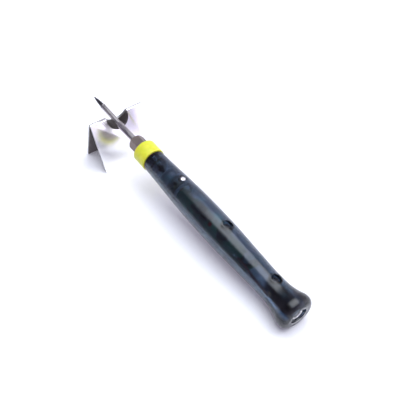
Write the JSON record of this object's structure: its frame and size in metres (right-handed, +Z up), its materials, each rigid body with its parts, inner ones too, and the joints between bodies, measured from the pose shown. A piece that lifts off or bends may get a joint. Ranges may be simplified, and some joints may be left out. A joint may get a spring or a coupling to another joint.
{
  "type": "soldering iron",
  "caption": "Small low-voltage soldering iron with a smoky see-through handle, yellow front ring, collar nut and needle tip, lying on its own stand of folded sheet.",
  "frame": {"origin": "middle of the footprint of the iron and its stand, on the surface they stand on", "axes": "+Y from the butt of the handle towards the tip, +X along the stand's ridge, to the right as seen from the butt, +Z up"},
  "size_m": [0.033, 0.1726, 0.0283],
  "materials": {
    "sheet": "bright rolled sheet, lightly scratched",
    "smoke_plastic": "glossy see-through smoke blue",
    "yellow_plastic": "satin fluorescent yellow",
    "dark_steel": "blackened, slightly brown",
    "steel": "drawn steel",
    "bit": "plated, heat-stained",
    "chrome": "polished",
    "ceramic": "matt white ceramic",
    "clear_plastic": "clear polished",
    "board": "glass-fibre board with green resist",
    "chip": "moulded black resin",
    "led": "tinted clear resin",
    "brass": "plated",
    "black_plastic": "moulded black",
    "wire_red": "insulated wire",
    "wire_black": "insulated wire"
  },
  "bodies": {
    "stand": {"stand_sheet": "sheet"},
    "handle": {"shell_top": "smoke_plastic", "shell_bottom": "smoke_plastic", "front_ring": "yellow_plastic", "threaded_bush": "steel", "heater_rod": "ceramic", "rod_holder": "ceramic", "heater_lead_left": "brass", "heater_lead_right": "brass", "light_ring": "clear_plastic", "circuit_board": "board", "control_chip": "chip", "power_transistor": "chip", "indicator_led": "led", "vibration_sensor": "chrome", "capacitor": "steel", "resistor_0": "chip", "resistor_1": "chip", "resistor_2": "chip", "touch_spring": "steel", "touch_pad": "brass", "jack_body": "black_plastic", "jack_bush": "chrome", "jack_contact": "brass", "jack_lug_left": "brass", "jack_lug_right": "brass", "supply_wire_left": "wire_red", "supply_wire_right": "wire_black", "screw_front": "dark_steel", "screw_rear": "dark_steel"},
    "nut": {"collar_nut": "dark_steel"},
    "tip": {"tip_bit": "bit", "heater_sleeve": "steel"},
    "ball": {"touch_ball": "chrome"}
  },
  "joints": [
    {"name": "iron_lift", "type": "slide", "parent": "stand", "child": "handle", "axis": [0, 0, 1], "range_m": [0, 0.06]},
    {"name": "collar_nut_turn", "type": "hinge", "parent": "handle", "child": "nut", "pos_m": [-0.0012, 0.0396, 0.02221], "axis": [0, 0.9942, 0.1073], "continuous": true},
    {"name": "tip_pull", "type": "slide", "parent": "handle", "child": "tip", "axis": [0, 0.9942, 0.1073], "range_m": [0, 0.031]},
    {"name": "touch_press", "type": "slide", "parent": "handle", "child": "ball", "axis": [-0.2588, 0.1036, -0.9603], "range_m": [0, 0.0004], "stiffness_N_per_m": 250, "springref_m": -0.0008, "deforming": ["touch_spring"]}
  ]
}
